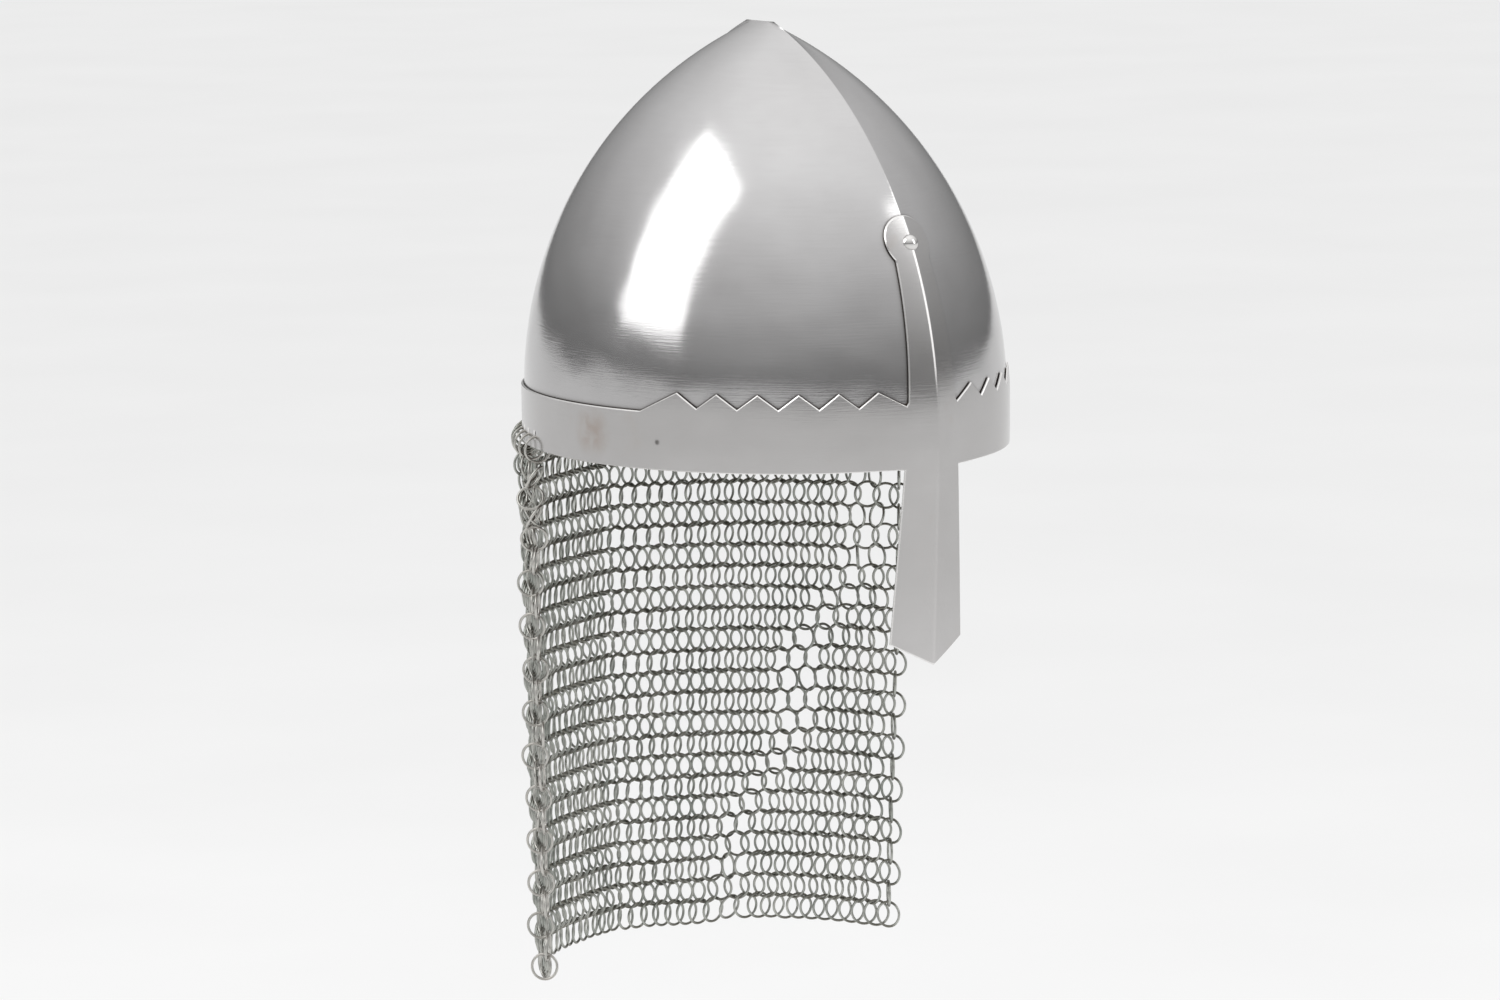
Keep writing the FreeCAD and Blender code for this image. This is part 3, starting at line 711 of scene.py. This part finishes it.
# Painted highlight: a much paler steel for the band's edge faces, standing in for the bright line that light
# draws along the tooth edges.
highlight_edge_steel = steel("highlight_edge_steel", (0.74, 0.73, 0.72), (0.84, 0.83, 0.82), 0.20, 0.30, 0.02)
mail_steel = ring_steel("mail_steel")
liner_leather = leather("liner_leather", (0.09, 0.045, 0.022), (0.20, 0.11, 0.06))
lace_leather = leather("lace_leather", (0.05, 0.026, 0.014), (0.11, 0.06, 0.032))

for side, node in ((1, "skull_left_half"), (-1, "skull_right_half")):
    half = build_skull_half(node + "_sheet", side)
    paint(half, skull_steel)
    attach(half, "helmet")
    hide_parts(node)

band, band_edges = build_brow_band()
paint(band, band_steel)
# The band's edge faces get the paler steel, a painted highlight.
band.data.materials.append(highlight_edge_steel)
band.data.polygons.foreach_set("material_index", band_edges)
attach(band, "helmet")
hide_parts("brow_band")

hangers = rings_object("hanger_ring_set", build_hangers())
paint(hangers, mail_steel)
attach(hangers, "helmet")
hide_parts("hanger_rings")

for index, placements in enumerate(build_mail(), start=1):
    body = f"aventail_strip_{index:02d}"
    mail = rings_object(f"mail_{index:02d}", placements)
    paint(mail, mail_steel)
    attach(mail, body)
    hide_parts(body)

CAD_LOOKS = (("nasal_rivet", rivet_steel), ("nasal_rivet_washer", rivet_steel), ("liner_rivets", rivet_steel),
             ("leather_liner", liner_leather), ("liner_lace", lace_leather))
for node, mat in CAD_LOOKS:
    paint(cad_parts[node], mat)

# ------------------------------------------------------------------ camera

AZIMUTH, ELEVATION, ROLL = -37.41, 8.08, -0.65
DISTANCE, LENS = 3.0, 158.4         # metres, and millimetres on the camera's own sensor width
AIM_LEFT, AIM_DOWN = 0.1297, 0.5354  # degrees that the camera is turned away from the origin


def make_camera():
    """Long lens at the helmet's front right, a little above the rim."""
    a, e, r = (math.radians(v) for v in (AZIMUTH, ELEVATION, ROLL))
    back = Vector((math.sin(a) * math.cos(e), -math.cos(a) * math.cos(e), math.sin(e)))
    right = Vector((math.cos(a), math.sin(a), 0.0))
    up = back.cross(right)
    rolled_right = right * math.cos(r) + up * math.sin(r)
    rolled_up = up * math.cos(r) - right * math.sin(r)
    basis = Matrix((rolled_right, rolled_up, back)).transposed()
    yaw = Matrix.Rotation(math.radians(AIM_LEFT), 3, "Y")
    pitch = Matrix.Rotation(-math.radians(AIM_DOWN), 3, "X")
    data = bpy.data.cameras.new("camera")
    data.lens = LENS
    data.clip_end = 200.0
    camera = bpy.data.objects.new("camera", data)
    camera.matrix_world = Matrix.Translation(back * DISTANCE) @ (basis @ yaw @ pitch).to_4x4()
    bpy.context.scene.collection.objects.link(camera)
    bpy.context.scene.camera = camera


make_camera()

# ------------------------------------------------------------------ floor, world and lights

def make_floor():
    """Plain pale paper, level and well below the mail."""
    size, z = 40.0, -0.62
    corners = [(-size, -size, z), (size, -size, z), (size, size, z), (-size, size, z)]
    floor = make_mesh("floor", corners, [(0, 1, 2, 3)])
    mat, nodes, links, shader = new_material("floor_paper")
    coord = nodes.new("ShaderNodeTexCoord").outputs["Object"]
    cloud = noise(nodes, links, coord, 3.0)
    paper = ramp(nodes, links, cloud, ((0.3, (0.88, 0.88, 0.88)), (0.7, (0.90, 0.90, 0.90))))
    links.new(paper, shader.inputs["Base Color"])
    shader.inputs["Roughness"].default_value = 0.9
    shader.inputs["Specular IOR Level"].default_value = 0.0
    floor.data.materials.append(mat)


def make_world():
    """Plain soft dome: pale overhead, greyer towards the horizon, the same all round."""
    world = bpy.data.worlds.new("studio")
    bpy.context.scene.world = world
    world.use_nodes = True
    nodes, links = world.node_tree.nodes, world.node_tree.links
    background = nodes["Background"]
    split = nodes.new("ShaderNodeSeparateXYZ")
    links.new(nodes.new("ShaderNodeTexCoord").outputs["Generated"], split.inputs[0])
    dome = ramp(nodes, links, split.outputs["Z"], ((0.0, (0.16, 0.16, 0.16)), (1.0, (1.0, 1.0, 1.0))))
    links.new(dome, background.inputs["Color"])
    background.inputs["Strength"].default_value = 1.3


def area_light(name, around, height, distance, size, power):
    """Soft box aimed at the helmet; around is its angle from the camera, towards the right."""
    a = math.radians(AZIMUTH + around)
    data = bpy.data.lights.new(name, "AREA")
    data.shape = "RECTANGLE"
    data.size, data.size_y = size
    data.energy = power
    light = bpy.data.objects.new(name, data)
    where = Vector((math.sin(a), -math.cos(a), 0)) * distance + Vector((0, 0, height))
    light.location = where
    light.rotation_mode = "QUATERNION"
    light.rotation_quaternion = (-where).to_track_quat("-Z", "Y")
    bpy.context.scene.collection.objects.link(light)


make_floor()
make_world()
area_light("key", -70, 1.6, 2.2, (1.6, 2.4), 22)
area_light("fill", 70, 1.2, 2.4, (1.2, 2.2), 14)

bpy.context.scene.view_settings.view_transform = "Standard"
